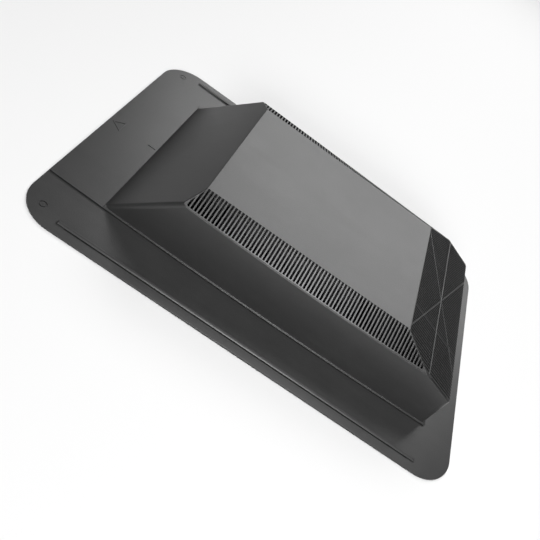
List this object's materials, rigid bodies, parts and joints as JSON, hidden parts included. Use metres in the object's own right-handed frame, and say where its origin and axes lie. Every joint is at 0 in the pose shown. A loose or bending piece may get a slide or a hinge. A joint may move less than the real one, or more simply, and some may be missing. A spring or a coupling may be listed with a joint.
{
  "type": "roof vent",
  "caption": "Low slant-back roof vent: a flat base flange with a collared throat, under a hood that breathes through fine slots along its sides and front.",
  "frame": {"origin": "middle of the flange's flat underside", "axes": "+Y up the roof slope, from the slotted front to the back plate; +Z out of the roof; +X across it"},
  "size_m": [0.43, 0.565, 0.0841],
  "materials": {
    "base_plastic": "fine moulded grain, satin",
    "hood_plastic": "fine moulded grain, satin"
  },
  "bodies": {
    "root": {"base": "base_plastic", "hood": "hood_plastic"}
  },
  "joints": []
}
